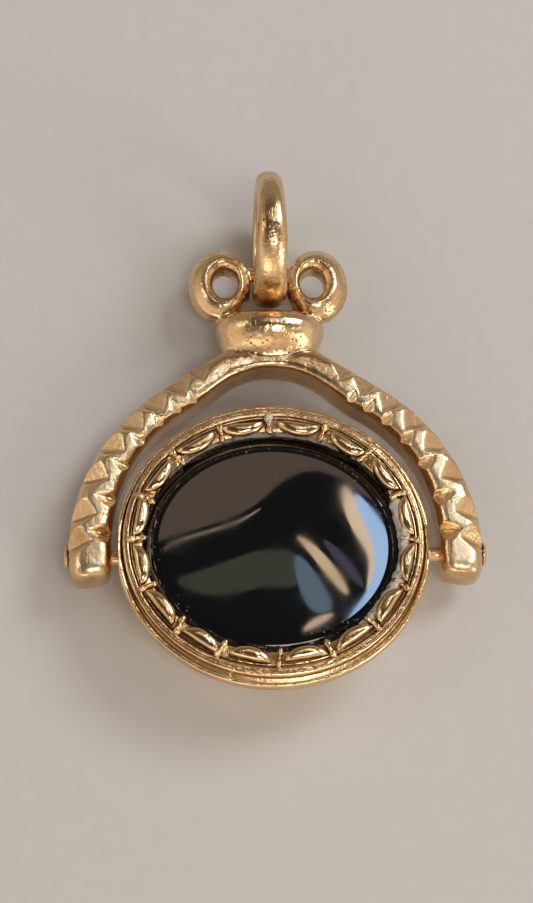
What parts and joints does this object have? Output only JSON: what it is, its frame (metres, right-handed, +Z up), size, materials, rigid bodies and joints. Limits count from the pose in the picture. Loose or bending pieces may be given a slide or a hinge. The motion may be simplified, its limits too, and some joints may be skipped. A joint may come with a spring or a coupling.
{
  "type": "spinner fob",
  "caption": "Gold spinner fob: an oval onyx in a scalloped setting that turns on pins in a carved yoke under a bail ring.",
  "frame": {"origin": "on the surface that the fob lies on, in the middle of its width and its length", "axes": "+X along the pivot pins, +Y towards the bail ring, +Z up out of the front stone"},
  "size_m": [0.0254, 0.0332, 0.0086],
  "materials": {
    "gold": "worn polished 9 carat yellow gold, soft highlights, brown in the hollows",
    "onyx": "polished black onyx with a high gloss"
  },
  "bodies": {
    "yoke": {"yoke": "gold", "pivot_pin_left": "gold", "pivot_pin_right": "gold"},
    "spinner": {"setting": "gold", "front_stone": "onyx", "back_stone": "onyx"},
    "bail": {"bail_ring": "gold"}
  },
  "joints": [
    {"name": "spinner_turn", "type": "hinge", "parent": "yoke", "child": "spinner", "pos_m": [0, -0.00779, 0.0025], "axis": [1, 0, 0], "continuous": true},
    {"name": "bail_swing", "type": "hinge", "parent": "yoke", "child": "bail", "pos_m": [0, 0.01073, 0.0025], "axis": [1, 0, 0], "range_deg": [-105, 8]}
  ]
}
